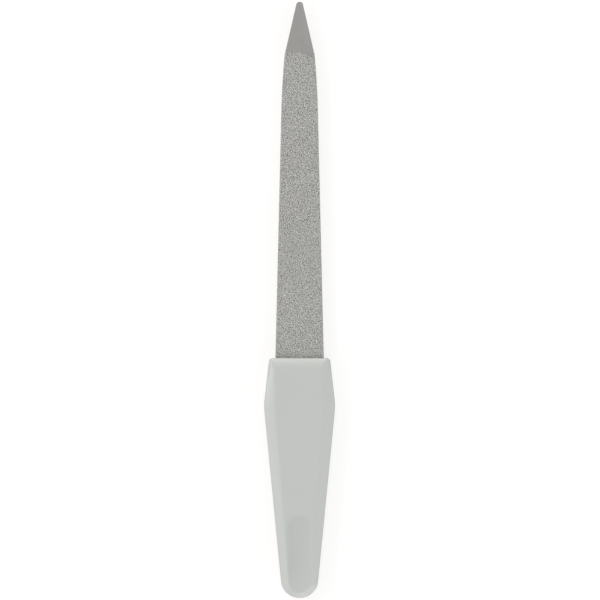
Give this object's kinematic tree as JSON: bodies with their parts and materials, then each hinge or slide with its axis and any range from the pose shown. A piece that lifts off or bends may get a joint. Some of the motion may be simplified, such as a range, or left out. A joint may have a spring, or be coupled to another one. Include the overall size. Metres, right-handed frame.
{
  "type": "sapphire nail file",
  "caption": "Flat steel nail file with a bare ground point, sapphire grit on both faces and a bevelled white plastic handle with a shallow cuticle dish.",
  "frame": {"origin": "under the middle of the file's length and width, on the surface that the handle's back lies on", "axes": "+Y along the file towards its tip, +Z out of the front face with the cuticle dish, +X to the right of the front face with the tip pointing away"},
  "size_m": [0.0178, 0.15, 0.0052],
  "materials": {
    "steel": "satin",
    "coarse_grit": "matte",
    "fine_grit": "matte",
    "moulded_plastic": "satin"
  },
  "bodies": {
    "root": {"blade": "steel", "front_abrasive": "coarse_grit", "back_abrasive": "fine_grit", "handle": "moulded_plastic"}
  },
  "joints": []
}
